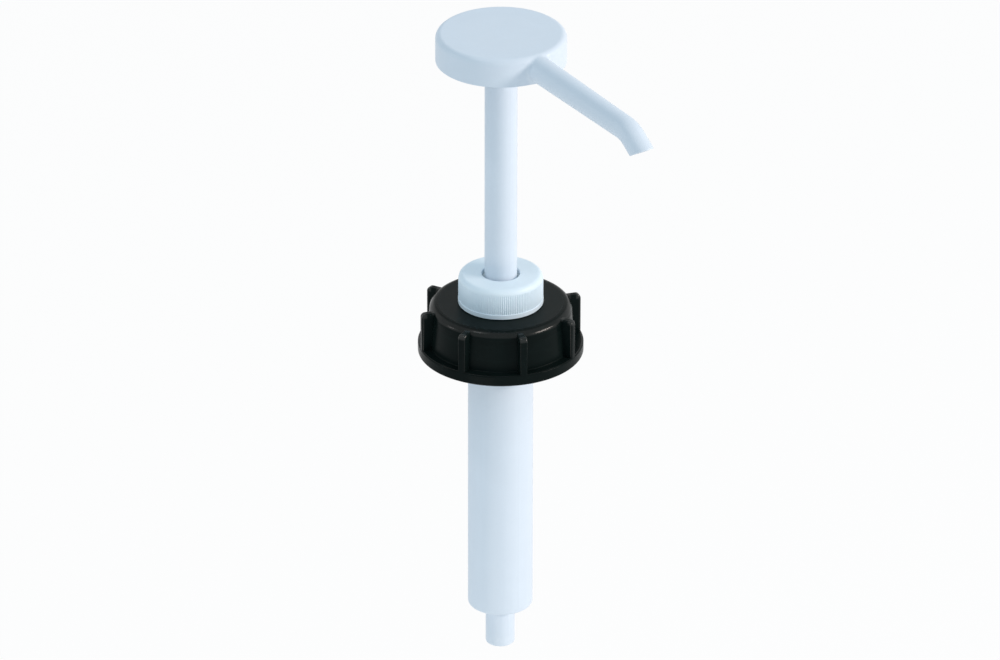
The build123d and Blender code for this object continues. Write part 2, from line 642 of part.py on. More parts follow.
def cut_spout():
    """The spout with its end cut obliquely and rounded."""
    tip_end = Vector(SPOUT_CORNER_REACH, 0, SPOUT_CORNER_Z) + spout_way(SPOUT_TIP_ANGLE) * SPOUT_TIP_LENGTH
    end_plane = Plane(origin=tip_end, z_dir=spout_way(SPOUT_CUT_ANGLE))
    root_reach = HEAD_RADIUS - 2 * HEAD_SIDE_WALL
    rod = spout_rod(root_reach, SPOUT_ROOT_RADIUS, SPOUT_TIP_RADIUS, SPOUT_TIP_RADIUS)
    rod = split(rod, bisect_by=end_plane, keep=Keep.BOTTOM)
    return fillet(rod.faces().filter_by(end_plane).edges(), SPOUT_TIP_ROUND)


def head_with_spout():
    """Solid disc and spout with a concave fillet round the spout's root, cut level with the foot."""
    drum_foot = HEAD_FOOT_Z - HEAD_HEIGHT
    drum = Rot(0, 0, 180) * turned([
        (0, drum_foot, 0),
        (HEAD_RADIUS, drum_foot, 0),
        (HEAD_RADIUS, HEAD_TOP_Z, HEAD_TOP_ROUND),
        (0, HEAD_TOP_Z, 0),
    ])
    spout = cut_spout()
    joined = drum + spout
    joined = fillet(new_edges(drum, spout, combined=joined), SPOUT_FLARE_ROUND)
    trim_radius = HEAD_RADIUS + SPOUT_FLARE_ROUND + SPOUT_FLARE_REST
    return joined - post(trim_radius, drum_foot - OVERRUN, HEAD_FOOT_Z)


def pump_head():
    """Disc head: hollow underneath, with a hub and plug for the stem, ribs and the bent spout."""
    ceiling_z = HEAD_TOP_Z - HEAD_TOP_WALL
    inner_radius = HEAD_RADIUS - HEAD_SIDE_WALL
    hollow = turned([
        (0, HEAD_FOOT_Z - OVERRUN, 0),
        (inner_radius, HEAD_FOOT_Z - OVERRUN, 0),
        (inner_radius, ceiling_z, SMALL_ROUND),
        (0, ceiling_z, 0),
    ])
    socket = STEM_RADIUS + SEAT_FIT
    hub_radius = socket + HUB_WALL
    hub_foot = HEAD_FOOT_Z + HUB_RECESS
    plug_radius = STEM_BORE_RADIUS - SEAT_FIT
    plug_foot = STEM_TOP_Z - PLUG_LENGTH
    groove_z = plug_foot + SEAL_RING_HEIGHT_ON_PLUG
    groove_floor = STEM_BORE_RADIUS - 2 * (SEAL_RING_RADIUS + SEAT_FIT)
    groove_half = SEAL_RING_RADIUS + SEAT_FIT
    hub = turned([
        (0, STEM_TOP_Z, 0),
        (socket, STEM_TOP_Z, 0),
        (socket, hub_foot, 0),
        (hub_radius, hub_foot, SMALL_ROUND),
        (hub_radius, ceiling_z + HEAD_TOP_WALL / 2, 0),
        (0, ceiling_z + HEAD_TOP_WALL / 2, 0),
    ])
    plug = turned([
        (0, plug_foot, 0),
        (plug_radius, plug_foot, SMALL_ROUND),
        (plug_radius, groove_z - groove_half, 0),
        (groove_floor, groove_z - groove_half, 0),
        (groove_floor, groove_z + groove_half, 0),
        (plug_radius, groove_z + groove_half, 0),
        (plug_radius, STEM_TOP_Z + STEM_WALL, 0),
        (0, STEM_TOP_Z + STEM_WALL, 0),
    ])
    rib_inner = hub_radius - HUB_WALL / 2
    rib_outer = inner_radius + HEAD_SIDE_WALL / 2
    rib_top = ceiling_z + HEAD_TOP_WALL / 2
    rib = upright_slab(rib_inner, rib_outer, HEAD_RIB_THICKNESS, ceiling_z - HEAD_RIB_HEIGHT, rib_top)
    channel_radius = SPOUT_BORE_RADIUS + SPOUT_CHANNEL_WALL
    channel = spout_rod(hub_radius - HUB_WALL / 2, channel_radius, channel_radius, 0)
    channel_room = post(inner_radius + HEAD_SIDE_WALL / 2, HEAD_FOOT_Z, HEAD_TOP_Z)
    body = head_with_spout() - hollow
    body = body + hub + plug + spokes(HEAD_RIB_COUNT, 180 / HEAD_RIB_COUNT, rib)
    body = body + (channel & channel_room)
    bore = spout_rod(0, SPOUT_BORE_RADIUS, SPOUT_BORE_RADIUS, SPOUT_TIP_RADIUS)
    well = post(PLUG_BORE_RADIUS, plug_foot - OVERRUN, SPOUT_AXIS_Z)
    return body - bore - well


def head_seal_ring():
    """Ring seal in the groove of the head's plug, inside the stem."""
    groove_z = STEM_TOP_Z - PLUG_LENGTH + SEAL_RING_HEIGHT_ON_PLUG
    middle = STEM_BORE_RADIUS - SEAL_RING_RADIUS - SEAT_FIT
    return Pos(0, 0, groove_z) * Torus(middle, SEAL_RING_RADIUS)


NODES = {
    "adapter_cap": adapter_cap,
    "cap_gasket": cap_gasket,
    "neck_gasket": neck_gasket,
    "screw_collar": screw_collar,
    "pump_cylinder": pump_cylinder,
    "stem_guide": stem_guide,
    "stem_wiper": stem_wiper,
    "stem_tube": stem_tube,
    "piston_carrier": piston_carrier,
    "upper_cup_seal": upper_cup_seal,
    "lower_cup_seal": lower_cup_seal,
    "spring_washer": spring_washer,
    "main_spring": main_spring,
    "outlet_valve_seat": outlet_valve_seat,
    "outlet_ball": outlet_ball,
    "outlet_ball_stop": outlet_ball_stop,
    "inlet_ball_cage": inlet_ball_cage,
    "inlet_ball": inlet_ball,
    "pump_head": pump_head,
    "head_seal_ring": head_seal_ring,
}

os.makedirs("parts", exist_ok=True)
for node_name, make_node in NODES.items():
    export_step(make_node(), f"parts/{node_name}.step")
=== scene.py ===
"""Looks of a hand pump for a canister: finishes, return spring, stage, light and camera."""

import logging
import math
from dataclasses import dataclass, replace
from enum import Enum

import bmesh
import bpy
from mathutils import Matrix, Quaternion, Vector


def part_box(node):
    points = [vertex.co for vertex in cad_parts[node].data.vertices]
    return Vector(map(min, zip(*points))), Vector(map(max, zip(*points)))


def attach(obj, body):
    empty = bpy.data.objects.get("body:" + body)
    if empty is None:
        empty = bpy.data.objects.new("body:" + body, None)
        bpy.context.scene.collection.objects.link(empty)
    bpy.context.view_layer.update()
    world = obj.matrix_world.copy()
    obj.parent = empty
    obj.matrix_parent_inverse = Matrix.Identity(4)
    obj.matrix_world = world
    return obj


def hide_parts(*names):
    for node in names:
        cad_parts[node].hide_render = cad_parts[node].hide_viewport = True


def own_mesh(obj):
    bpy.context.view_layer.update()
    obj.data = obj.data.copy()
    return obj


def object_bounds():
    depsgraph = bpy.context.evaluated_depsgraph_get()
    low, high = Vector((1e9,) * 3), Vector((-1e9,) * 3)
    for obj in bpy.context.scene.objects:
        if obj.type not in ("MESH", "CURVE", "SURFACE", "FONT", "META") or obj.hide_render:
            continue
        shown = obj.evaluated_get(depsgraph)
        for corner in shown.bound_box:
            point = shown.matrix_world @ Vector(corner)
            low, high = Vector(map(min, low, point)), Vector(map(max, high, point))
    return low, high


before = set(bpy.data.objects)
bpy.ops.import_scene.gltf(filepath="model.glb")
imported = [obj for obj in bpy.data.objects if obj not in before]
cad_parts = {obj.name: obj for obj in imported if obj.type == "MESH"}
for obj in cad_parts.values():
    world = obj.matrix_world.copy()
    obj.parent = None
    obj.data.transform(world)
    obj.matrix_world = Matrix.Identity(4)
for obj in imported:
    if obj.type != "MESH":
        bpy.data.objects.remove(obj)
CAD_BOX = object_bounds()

LOG = logging.getLogger("dispensing_pump")

MM = 0.001
PHOTO_WIDTH = 1000
OCTAVE_SHARE = 0.55
MIX_FACTOR, MIX_FIRST, MIX_SECOND, MIX_RESULT = 0, 6, 7, 2
QUAD_CORNERS = 4

Colour = tuple[float, float, float]
Point = tuple[float, float, float]


class Signal:
    """A node's output socket that takes part in shader maths."""

    def __init__(self, sheet: "NodeSheet", socket: bpy.types.NodeSocket) -> None:
        """Keeps the socket and the sheet that new nodes are added to."""
        self.sheet = sheet
        self.socket = socket

    def _math(self, operation: str, *terms: "Signal | float") -> "Signal":
        """Adds one Math node.

        Args:
            operation: The Math node's operation.
            terms: Its inputs, as signals or numbers.

        Returns:
            The node's value.
        """
        return self.sheet.node("ShaderNodeMath", {"operation": operation}, dict(enumerate(terms)))

    def __add__(self, other: "Signal | float") -> "Signal":
        """Sum of two values."""
        return self._math("ADD", self, other)

    def __radd__(self, other: float) -> "Signal":
        """Sum with a number on the left."""
        return self._math("ADD", other, self)

    def __sub__(self, other: "Signal | float") -> "Signal":
        """Difference of two values."""
        return self._math("SUBTRACT", self, other)

    def __rsub__(self, other: float) -> "Signal":
        """Difference from a number on the left."""
        return self._math("SUBTRACT", other, self)

    def __mul__(self, other: "Signal | float") -> "Signal":
        """Product of two values."""
        return self._math("MULTIPLY", self, other)

    def __rmul__(self, other: float) -> "Signal":
        """Product with a number on the left."""
        return self._math("MULTIPLY", other, self)

    def __pow__(self, power: "Signal | float") -> "Signal":
        """Power of a value."""
        return self._math("POWER", self, power)

    def __rpow__(self, base: float) -> "Signal":
        """Power of a number on the left."""
        return self._math("POWER", base, self)

    def __or__(self, other: "Signal | float") -> "Signal":
        """The larger of two masks."""
        return self._math("MAXIMUM", self, other)

    def __ror__(self, other: float) -> "Signal":
        """The larger of a number on the left and a mask."""
        return self._math("MAXIMUM", other, self)

    def step(self, low: float, high: float) -> "Signal":
        """Runs smoothly from 0 at one value to 1 at another.

        Args:
            low: The value that gives 0.
            high: The value that gives 1, on either side of low.

        Returns:
            The smooth mask.
        """
        limits = {"Value": self, "From Min": low, "From Max": high}
        return self.sheet.node("ShaderNodeMapRange", {"interpolation_type": "SMOOTHSTEP"}, limits)


class NodeSheet:
    """One node tree and the single way in which nodes are added to it."""

    def __init__(self, tree: bpy.types.NodeTree) -> None:
        """Empties the tree."""
        self.tree = tree
        tree.nodes.clear()

    def node(
        self,
        kind: str,
        settings: dict | None = None,
        sockets: dict | None = None,
        output: int | str = 0,
    ) -> Signal:
        """Adds a node.

        Args:
            kind: The node's Blender type.
            settings: Its properties, which are set first.
            sockets: Values or signals for its inputs, by name or number.
            output: The output that the caller goes on with.

        Returns:
            That output as a signal, or the node's first input socket where it has no output.
        """
        made = self.tree.nodes.new(kind)
        for key, value in (settings or {}).items():
            setattr(made, key, value)
        for key, value in (sockets or {}).items():
            if isinstance(value, Signal):
                self.tree.links.new(value.socket, made.inputs[key])
            else:
                made.inputs[key].default_value = value
        outlet = made.outputs[output] if made.outputs else made.inputs[0]
        return Signal(self, outlet)

    def noise(self, coordinates: Signal, scale: float, detail: float = 3) -> Signal:
        """Noise around a half.

        Args:
            coordinates: The place on the surface, in metres.
            scale: Features per metre.
            detail: Octaves.

        Returns:
            The noise value, from 0 to 1.
        """
        values = {"Vector": coordinates, "Scale": scale, "Detail": detail, "Roughness": OCTAVE_SHARE}
        return self.node("ShaderNodeTexNoise", {"noise_dimensions": "3D"}, values, "Fac")

    def stretched(self, coordinates: Signal, stretch: Point) -> Signal:
        """Coordinates scaled along each axis.

        Args:
            coordinates: The place on the surface.
            stretch: Factors along X, Y and Z.

        Returns:
            The scaled coordinates.
        """
        return self.node("ShaderNodeVectorMath", {"operation": "MULTIPLY"}, {0: coordinates, 1: stretch})

    def mix(self, mask: Signal, first: "Signal | Colour", second: "Signal | Colour") -> Signal:
        """Mixes two colours.

        Args:
            mask: 0 for the first colour and 1 for the second.
            first: Colour or signal.
            second: Colour or signal.

        Returns:
            The mixed colour.
        """
        pair = [value if isinstance(value, Signal) else (*value, 1) for value in (first, second)]
        values = {MIX_FACTOR: mask, MIX_FIRST: pair[0], MIX_SECOND: pair[1]}
        return self.node("ShaderNodeMix", {"data_type": "RGBA"}, values, MIX_RESULT)


@dataclass(frozen=True)
class SurfacePlace:
    """Where a point lies on the pump, as signals in metres."""

    point: Signal
    radius: Signal
    height: Signal

    @classmethod
    def on(cls, sheet: NodeSheet) -> "SurfacePlace":
        """Reads the place from the object's own coordinates, which are the frame's."""
        point = sheet.node("ShaderNodeTexCoord", None, None, "Object")
        split = {axis: sheet.node("ShaderNodeSeparateXYZ", None, {0: point}, axis) for axis in "XYZ"}
        radius = (split["X"] * split["X"] + split["Y"] * split["Y"]) ** 0.5
        return cls(point, radius, split["Z"])


@dataclass(frozen=True)
class Ring:
    """A ring-shaped zone round the pump's axis, with soft borders."""

    inner: float
    outer: float
    low: float
    high: float
    border: float = 0.4 * MM
    strength: float = 1.0

    def mask(self, place: SurfacePlace) -> Signal:
        """The zone's strength inside it and 0 outside."""
        across = place.radius.step(self.inner - self.border, self.inner + self.border)
        across = across * place.radius.step(self.outer + self.border, self.outer - self.border)
        along = place.height.step(self.low - self.border, self.low + self.border)
        along = along * place.height.step(self.high + self.border, self.high - self.border)
        return across * along * self.strength


@dataclass(frozen=True)
class Ball:
    """A round zone about a point, with a soft border."""

    centre: Point
    reach: float
    core_share: float = 0.4

    def mask(self, place: SurfacePlace) -> Signal:
        """1 near the point and 0 outside."""
        ends = {0: place.point, 1: self.centre}
        apart = place.point.sheet.node("ShaderNodeVectorMath", {"operation": "DISTANCE"}, ends, "Value")
        return apart.step(self.reach, self.reach * self.core_share)


Zone = Ring | Ball


def covered(place: SurfacePlace, zones: tuple[Zone, ...]) -> Signal:
    """Joins zones.

    Args:
        place: Where the surface point lies.
        zones: One zone or more.

    Returns:
        The strongest of the zones' masks.
    """
    mask = zones[0].mask(place)
    for zone in zones[1:]:
        mask = mask | zone.mask(place)
    return mask


def tinted(colour: Colour, share: float) -> Colour:
    """A colour made paler by a share of itself, or darker where the share is negative."""
    return tuple(channel * (1 + share) for channel in colour)


@dataclass(frozen=True)
class MouldedPlastic:
    """Moulded plastic with mottling, a fine skin, drag lines, places smoothed by handling that on the black
    cap also carry painted shade, shiny places, and layers that change the colour: a stain, darker groove
    roots, and dust with painted light on the black cap's top.
    """

    name: str
    colour: Colour
    mottle: float
    roughness: float
    gloss_spread: float
    specular: float
    skin_scale: float
    skin_height: float
    drag: Point
    drag_share: float
    rubbed_and_shaded: tuple[Zone, ...] = ()
    rub_and_shade_colour: Colour = (1.0, 1.0, 1.0)
    rub_and_shade_share: float = 0.0
    rub_polish: float = 0.0
    shiny: tuple[Zone, ...] = ()
    shine: float = 0.0
    shine_roughness: float = 0.22
    filmed_and_lit: tuple[Zone, ...] = ()
    film_and_light_colour: Colour = (0.5, 0.5, 0.5)
    film_and_light_share: float = 0.0
    film_dulling: float = 0.1
    cloud_scale: float = 70
    fleck_scale: float = 900
    wave_scale: float = 110
    wear_scale: float = 240
    film_scale: float = 160
    bump_strength: float = 0.35

    def material(self) -> bpy.types.Material:
        """Makes the node material."""
        made = bpy.data.materials.new(self.name)
        made.use_nodes = True
        sheet = NodeSheet(made.node_tree)
        place = SurfacePlace.on(sheet)
        cloud = sheet.noise(place.point, self.cloud_scale)
        fleck = sheet.noise(place.point, self.fleck_scale, detail=2)
        drag = sheet.noise(sheet.stretched(place.point, self.drag), 1, detail=2).step(0.45, 0.75)
        shade = (cloud * 0.6 + fleck * 0.25 + drag * 0.15).step(0.3, 0.7)
        colour = sheet.mix(shade, tinted(self.colour, -self.mottle), tinted(self.colour, self.mottle))
        gloss = (cloud - 0.5) * self.gloss_spread + drag * self.drag_share + self.roughness
        finish = {"Specular IOR Level": self.specular}
        if self.rubbed_and_shaded:
            patches = sheet.noise(place.point, self.wear_scale, detail=2).step(0.25, 0.6)
            wear_and_shade = covered(place, self.rubbed_and_shaded) * (patches * 0.7 + 0.3)
            # Wear on the white pieces; on the black cap's rims and shoulder this darker colour is painted
            # shade.
            colour = sheet.mix(wear_and_shade * self.rub_and_shade_share, colour, self.rub_and_shade_colour)
            gloss = gloss - wear_and_shade * self.rub_polish
        if self.shiny:
            polish = covered(place, self.shiny) * (cloud.step(0.2, 0.6) * 0.3 + 0.7)
            finish["Coat Weight"] = polish * self.shine
            finish["Coat Roughness"] = self.shine_roughness
        if self.filmed_and_lit:
            patches = sheet.noise(place.point, self.film_scale).step(0.2, 0.7)
            film_and_light = covered(place, self.filmed_and_lit) * (patches * 0.5 + 0.5)
            # On the black cap's top this paler layer is dust and painted light from above; elsewhere it is
            # the spout's drip stain and the collar's darker groove roots.
            colour = sheet.mix(film_and_light * self.film_and_light_share, colour, self.film_and_light_colour)
            gloss = gloss + film_and_light * self.film_dulling
        skin = sheet.noise(place.point, self.skin_scale, detail=2)
        wave = sheet.noise(place.point, self.wave_scale, detail=1)
        finish["Normal"] = sheet.node("ShaderNodeBump", None, {
            "Strength": self.bump_strength,
            "Distance": self.skin_height,
            "Height": skin * 0.6 + wave * 0.4 + drag * self.drag_share,
        })
        finish["Base Color"] = colour
        finish["Roughness"] = gloss
        surface = sheet.node("ShaderNodeBsdfPrincipled", None, finish)
        sheet.node("ShaderNodeOutputMaterial", None, {"Surface": surface})
        return made


WHITE_PLASTIC = MouldedPlastic(
    name="white_moulded_plastic",
    colour=(0.74, 0.80, 0.885),
    mottle=0.012,
    roughness=0.40,
    gloss_spread=0.10,
    specular=0.35,
    skin_scale=1500,
    skin_height=0.04 * MM,
    drag=(900, 900, 12),
    drag_share=0.05,
)
BLACK_PLASTIC = MouldedPlastic(
    name="black_moulded_plastic",
    colour=(0.0046, 0.0086, 0.0082),
    mottle=0.14,
    roughness=0.30,
    gloss_spread=0.12,
    specular=0.040,
    skin_scale=1100,
    skin_height=0.07 * MM,
    drag=(60, 60, 500),
    drag_share=0.06,
)
NATURAL_PLASTIC = replace(
    WHITE_PLASTIC,
    name="natural_moulded_plastic",
    colour=(0.66, 0.67, 0.64),
    mottle=0.015,
    specular=0.40,
    drag=(700, 700, 15),
)
SEAL_RUBBER = MouldedPlastic(
    name="seal_rubber",
    colour=(0.030, 0.030, 0.032),
    mottle=0.10,
    roughness=0.66,
    gloss_spread=0.10,
    specular=0.30,
    skin_scale=1800,
    skin_height=0.06 * MM,
    drag=(300, 300, 300),
    drag_share=0.05,
)
WIPER_SILICONE = replace(
    SEAL_RUBBER,
    name="wiper_silicone",
    colour=(0.60, 0.65, 0.66),
    mottle=0.02,
    roughness=0.55,
)
EVEN_SWIRLS = (160, 160, 160)


@dataclass(frozen=True)
class TurnedSteel:
    """Bare steel with fine lines along or round the piece."""

    name: str
    colour: Colour
    roughness: float
    lines: Point
    line_depth: float = 0.03 * MM
    line_strength: float = 0.2
    cloud_scale: float = 300
    dulling: float = 0.2

    def material(self) -> bpy.types.Material:
        """Makes the node material."""
        made = bpy.data.materials.new(self.name)
        made.use_nodes = True
        sheet = NodeSheet(made.node_tree)
        place = SurfacePlace.on(sheet)
        line = sheet.noise(sheet.stretched(place.point, self.lines), 1)
        cloud = sheet.noise(place.point, self.cloud_scale)
        scored = {"Strength": self.line_strength, "Distance": self.line_depth, "Height": line}
        surface = sheet.node("ShaderNodeBsdfPrincipled", None, {
            "Base Color": sheet.mix(line.step(0.3, 0.7), tinted(self.colour, -self.dulling), self.colour),
            "Metallic": 1.0,
            "Roughness": cloud * 0.1 + line * 0.12 + self.roughness,
            "Normal": sheet.node("ShaderNodeBump", None, scored),
        })
        sheet.node("ShaderNodeOutputMaterial", None, {"Surface": surface})
        return made


SPRING_STEEL = TurnedSteel(
    name="drawn_spring_steel",
    colour=(0.56, 0.57, 0.58),
    roughness=0.22,
    lines=(500, 500, 2500),
)
BALL_STEEL = TurnedSteel(
    name="polished_ball_steel",
    colour=(0.66, 0.67, 0.68),
    roughness=0.05,
    lines=(400, 400, 400),
)

Finish = MouldedPlastic | TurnedSteel


class SubAssembly:
    """Pieces that keep their CAD shape and take a finish each."""

    def finishes(self) -> dict[str, Finish]:
        """The finish of each node, by its name."""
        return {}

    def dress(self) -> None:
        """Puts each node's finish in its material slots."""
        for name, finish in self.finishes().items():
            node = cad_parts[name]
            node.data.materials.clear()
            node.data.materials.append(finish.material())
            LOG.info("dressed %s with %s", name, finish.name)


@dataclass
class DispensingHead(SubAssembly):
    """The disc that the hand presses, its bent spout, and the ring that seals it in the stem."""

    disc_radius: float = 29.8 * MM
    rim_width: float = 2.2 * MM
    palm_radius: float = 19.0 * MM
    palm_border: float = 3.0 * MM
    drip_reach: float = 9.0 * MM
    drip_colour: Colour = (0.62, 0.64, 0.60)

    def finishes(self) -> dict[str, Finish]:
        """Palm gloss on the disc, a rim smoothed by handling, and a drip-stained spout end."""
        low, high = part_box("pump_head")
        palm = Ring(-self.rim_width, self.palm_radius, high.z - self.rim_width, high.z, self.palm_border)
        rim = Ring(self.disc_radius - self.rim_width, self.disc_radius, high.z - self.rim_width, high.z)
        drip = Ball((high.x, 0, low.z), self.drip_reach)
        body = replace(
            WHITE_PLASTIC,
            name="pump_head_plastic",
            drag=EVEN_SWIRLS,
            rubbed_and_shaded=(palm, rim),
            rub_and_shade_share=0.05,
            rub_polish=0.08,
            filmed_and_lit=(drip,),
            film_and_light_colour=self.drip_colour,
            film_and_light_share=0.10,
        )
        return {"pump_head": body, "head_seal_ring": SEAL_RUBBER}


@dataclass
class PlungerStem(SubAssembly):
    """The hollow stem, which carries lines from sliding through the wiper."""

    line_pitch: float = 1300.0
    line_stretch: float = 9.0

    def finishes(self) -> dict[str, Finish]:
        """Fine lines along the stem."""
        stem = replace(
            WHITE_PLASTIC,
            name="stem_tube_plastic",
            drag=(self.line_pitch, self.line_pitch, self.line_stretch),
            drag_share=0.09,
        )
        return {"stem_tube": stem}


@dataclass
class PistonSet(SubAssembly):
    """The piston under the stem, with its two cups, its washer and its valve."""

    cup_gloss: float = 0.52

    def finishes(self) -> dict[str, Finish]:
        """Plain mouldings, softer cups and a steel ball."""
        cup = replace(SEAL_RUBBER, name="piston_cup_rubber", roughness=self.cup_gloss)
        return {
            "piston_carrier": NATURAL_PLASTIC,
            "upper_cup_seal": cup,
            "lower_cup_seal": cup,
            "spring_washer": NATURAL_PLASTIC,
            "outlet_valve_seat": NATURAL_PLASTIC,
            "outlet_ball_stop": NATURAL_PLASTIC,
            "outlet_ball": BALL_STEEL,
        }


@dataclass
class PumpBarrel(SubAssembly):
    """The cylinder with its spigot, its mouth and the parts that stay in it."""

    flow_pitch: float = 420.0
    flow_stretch: float = 16.0
    foot_band: float = 5.0 * MM
    spigot_radius: float = 6.75 * MM

    def finishes(self) -> dict[str, Finish]:
        """Flow lines along the cylinder and a spigot end smoothed by handling."""
        low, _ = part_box("pump_cylinder")
        end = Ring(0, self.spigot_radius, low.z, low.z + self.foot_band)
        body = replace(
            WHITE_PLASTIC,
            name="pump_cylinder_plastic",
            drag=(self.flow_pitch, self.flow_pitch, self.flow_stretch),
            drag_share=0.06,
            rubbed_and_shaded=(end,),
            rub_and_shade_share=0.05,
            rub_polish=0.06,
        )
        return {
            "pump_cylinder": body,
            "neck_gasket": SEAL_RUBBER,
            "stem_guide": NATURAL_PLASTIC,
            "stem_wiper": WIPER_SILICONE,
            "inlet_ball_cage": NATURAL_PLASTIC,
            "inlet_ball": BALL_STEEL,
            "main_spring": SPRING_STEEL,
        }


@dataclass
class KnurledCollar(SubAssembly):
    """The collar that screws the cylinder to the cap."""

    colour: Colour = (0.82, 0.91, 0.98)
    groove_root_colour: Colour = (0.52, 0.57, 0.60)
    groove_root: float = 19.05 * MM
    groove_crest: float = 19.5 * MM
    border_share: float = 0.25
    band_low: float = 6.9 * MM
    band_high: float = 16.4 * MM

    def finishes(self) -> dict[str, Finish]:
        """A darker colour at the roots of the knurl's grooves."""
        border = (self.groove_crest - self.groove_root) * self.border_share
        groove = Ring(0, self.groove_root + border, self.band_low, self.band_high, border)
        collar = replace(
            WHITE_PLASTIC,
            name="screw_collar_plastic",
            colour=self.colour,
            drag=EVEN_SWIRLS,
            # Darker at the roots of the knurl's grooves.
            filmed_and_lit=(groove,),
            film_and_light_colour=self.groove_root_colour,
            film_and_light_share=0.08,
        )
        return {"screw_collar": collar}


@dataclass
class CanisterCap(SubAssembly):
    """The black cap with its fins and flange, and its gasket."""

    rim_radius: float = 38.0 * MM
    rub_depth: float = 0.9 * MM
    fin_top: float = 3.5 * MM
    corner_inner: float = 35.6 * MM
    corner_low: float = 1.6 * MM
    corner_strength: float = 2.0
    edge_inner: float = 36.9 * MM
    edge_outer: float = 37.6 * MM
    edge_border: float = 0.15 * MM
    shoulder_inner: float = 28.7 * MM
    shoulder_outer: float = 33.0 * MM
    shoulder_low: float = -1.5 * MM
    shoulder_border: float = 1.5 * MM
    bend_inner: float = 30.4 * MM
    bend_low: float = 1.9 * MM
    bend_high: float = 4.1 * MM
    cap_top: float = 4.5 * MM
    # Painted shade: the darker colour laid on the cap's rims and shoulder.
    rim_painted_shade_colour: Colour = (0.0022, 0.0042, 0.0040)
    # Paler top: dust and painted light from above.
    dust_and_top_light_colour: Colour = (0.048, 0.066, 0.070)

    def finishes(self) -> dict[str, Finish]:
        """Rims and shoulder smoothed by handling and darkened with painted shade, shiny corners and edges,
        and a top made paler by dust and painted light from above.
        """
        low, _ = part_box("adapter_cap")
        rims = Ring(self.rim_radius - self.rub_depth, self.rim_radius, low.z, self.fin_top)
        shoulder = Ring(
            self.shoulder_inner,
            self.shoulder_outer,
            self.shoulder_low,
            self.cap_top,
            self.shoulder_border,
        )
        bend = Ring(self.bend_inner, self.shoulder_outer, self.bend_low, self.bend_high)
        corners = Ring(
            self.corner_inner,
            self.rim_radius,
            self.corner_low,
            self.fin_top,
            strength=self.corner_strength,
        )
        edges = Ring(self.edge_inner, self.edge_outer, low.z, self.fin_top, self.edge_border)
        top = Ring(0, self.shoulder_inner, self.fin_top, self.cap_top)
        body = replace(
            BLACK_PLASTIC,
            name="adapter_cap_plastic",
            # The rims and shoulder take painted shade as well as a smoother finish.
            rubbed_and_shaded=(rims, shoulder),
            rub_and_shade_colour=self.rim_painted_shade_colour,
            rub_and_shade_share=0.6,
            rub_polish=0.14,
            shiny=(bend, corners, edges),
            shine=0.32,
            # The top is paler with dust and painted light from above.
            filmed_and_lit=(top,),
            film_and_light_colour=self.dust_and_top_light_colour,
            film_and_light_share=0.06,
        )
        return {"adapter_cap": body, "cap_gasket": SEAL_RUBBER}


def tube(name: str, points: list[Vector], radius: float, sides: int) -> bpy.types.Object:
    """Sweeps a circle along points and closes both ends.

    Args:
        name: The new piece's name.
        points: The centre line.
        radius: The tube's radius.
        sides: Corners of its section.

    Returns:
        The new mesh object, linked to the scene.
    """
    mesh = bmesh.new()
    rings = []
    normal = Vector((0, 0, 1))
    for index, point in enumerate(points):
        way = (points[min(index + 1, len(points) - 1)] - points[max(index - 1, 0)]).normalized()
        normal = (normal - way * normal.dot(way)).normalized()
        across = way.cross(normal)
        angles = [math.tau * side / sides for side in range(sides)]
        spokes = [normal * math.cos(angle) + across * math.sin(angle) for angle in angles]
        rings.append([mesh.verts.new(point + spoke * radius) for spoke in spokes])
    for ring, after in zip(rings, rings[1:]):
        for side in range(sides):
            turn = (side + 1) % sides
            mesh.faces.new((ring[side], ring[turn], after[turn], after[side]))
    mesh.faces.new(reversed(rings[0]))
    mesh.faces.new(rings[-1])
    bmesh.ops.recalc_face_normals(mesh, faces=mesh.faces)
    data = bpy.data.meshes.new(name)
    mesh.to_mesh(data)
    mesh.free()
    for face in data.polygons:
        face.use_smooth = len(face.vertices) == QUAD_CORNERS
    made = bpy.data.objects.new(name, data)
    bpy.context.scene.collection.objects.link(made)
    return made


@dataclass
class ReturnSpring:
    """The wound spring between the cage on the cylinder's floor and the piston's washer."""

    wire_radius: float = 0.8 * MM
    turns: int = 15
    dead_turns: int = 1
    dead_pitch: float = 2.2 * MM
    points_per_turn: int = 48
    wire_sides: int = 14
    closed_share: float = 0.263
    slot: str = "spring_steel"

    def centre_line(self) -> list[Vector]:
        """Points along the wire's centre, from the foot up.

        Returns:
            The points, in metres.
        """
        low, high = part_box("main_spring")
        mean_radius = high.x - self.wire_radius
        foot = low.z + self.wire_radius
        live_turns = self.turns - 2 * self.dead_turns
        dead_rise = 2 * self.dead_turns * self.dead_pitch
        live_pitch = (high.z - low.z - 2 * self.wire_radius - dead_rise) / live_turns
        points = []
        for index in range(self.turns * self.points_per_turn + 1):
            turn = index / self.points_per_turn
            dead = min(turn, self.dead_turns) + max(turn - self.turns + self.dead_turns, 0)
            rise = dead * self.dead_pitch + (turn - dead) * live_pitch
            angle = math.tau * turn
            points.append(Vector((mean_radius * math.cos(angle), mean_radius * math.sin(angle), foot + rise)))
        return points

    def build(self) -> bpy.types.Object:
        """Makes the spring and hangs it on the barrel's body.

        Returns:
            The new piece.
        """
        wire = tube("return_spring", self.centre_line(), self.wire_radius, self.wire_sides)
        wire.data.materials.append(SPRING_STEEL.material())
        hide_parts("main_spring")
        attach(wire, "barrel")
        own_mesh(wire)
        LOG.info("built %s", wire.name)
        return wire


def bearing(azimuth: float, elevation: float) -> Vector:
    """Direction from the pump towards a viewer or lamp.

    Args:
        azimuth: Degrees, 0 in front on -Y and 90 on +X.
        elevation: Degrees above the level.

    Returns:
        The unit vector.
    """
    turn, rise = math.radians(azimuth), math.radians(elevation)
    return Vector((math.sin(turn) * math.cos(rise), -math.cos(turn) * math.cos(rise), math.sin(rise)))


